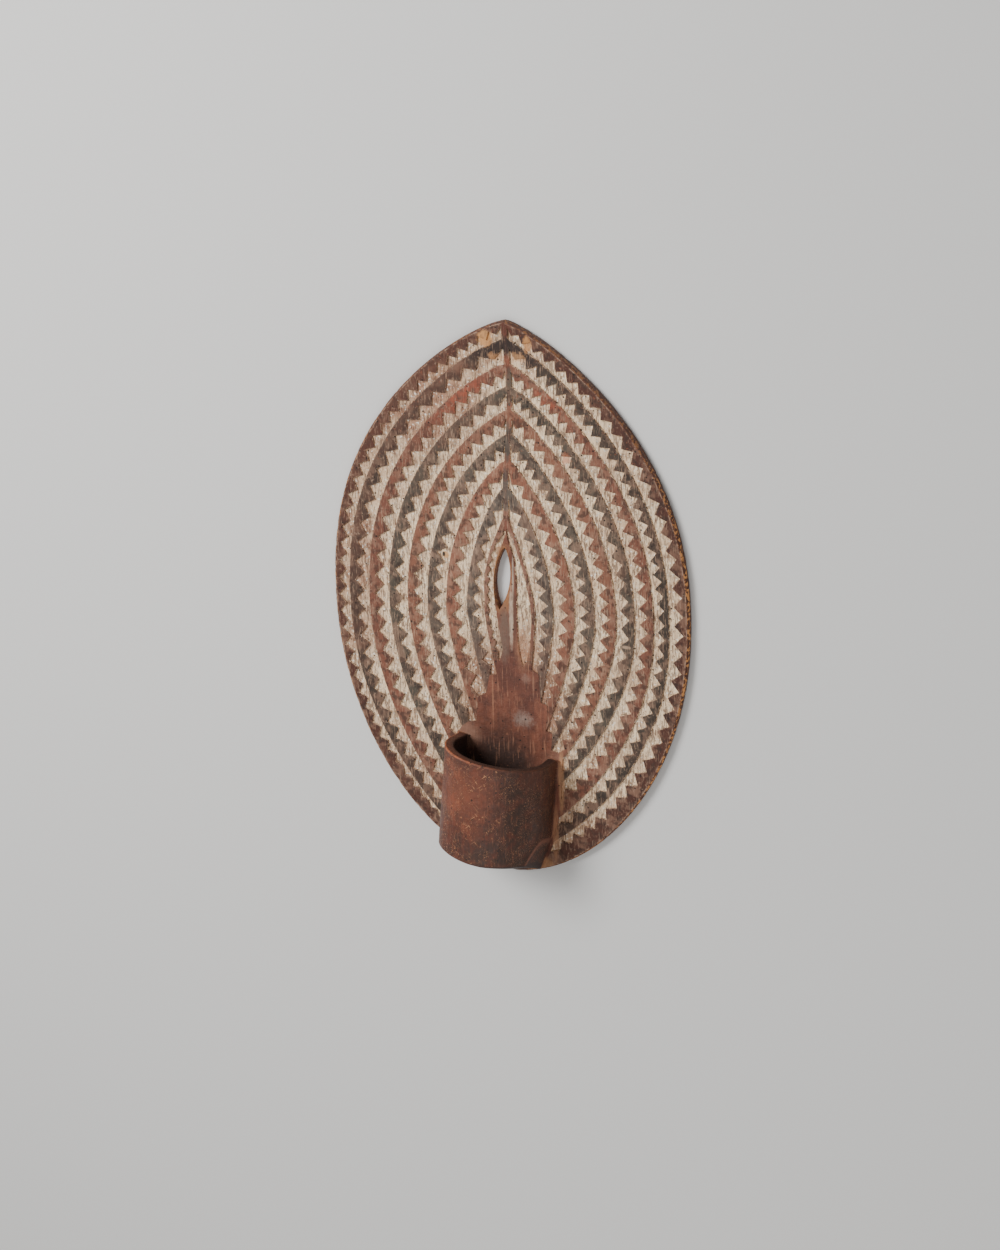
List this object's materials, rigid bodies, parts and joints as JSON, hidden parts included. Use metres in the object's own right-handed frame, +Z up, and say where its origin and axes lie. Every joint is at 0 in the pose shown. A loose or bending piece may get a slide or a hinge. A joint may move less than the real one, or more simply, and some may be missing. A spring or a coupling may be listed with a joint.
{
  "type": "wooden dance shield",
  "caption": "Leaf-shaped carved wooden dance shield with nested rows of teeth, a pierced eye slit and an arm ring, lying ring side up.",
  "frame": {"origin": "centre of the bounding box on the resting face", "axes": "+Y along the shield from the ring's end to the pointed top, +Z up out of the face that carries the arm ring, +X to the right seen from that side with the point up"},
  "size_m": [0.396, 0.6, 0.093],
  "materials": {
    "painted_wood": "faded pigment and polished patina on carved wood"
  },
  "bodies": {
    "root": {"dance_shield": "painted_wood"}
  },
  "joints": []
}
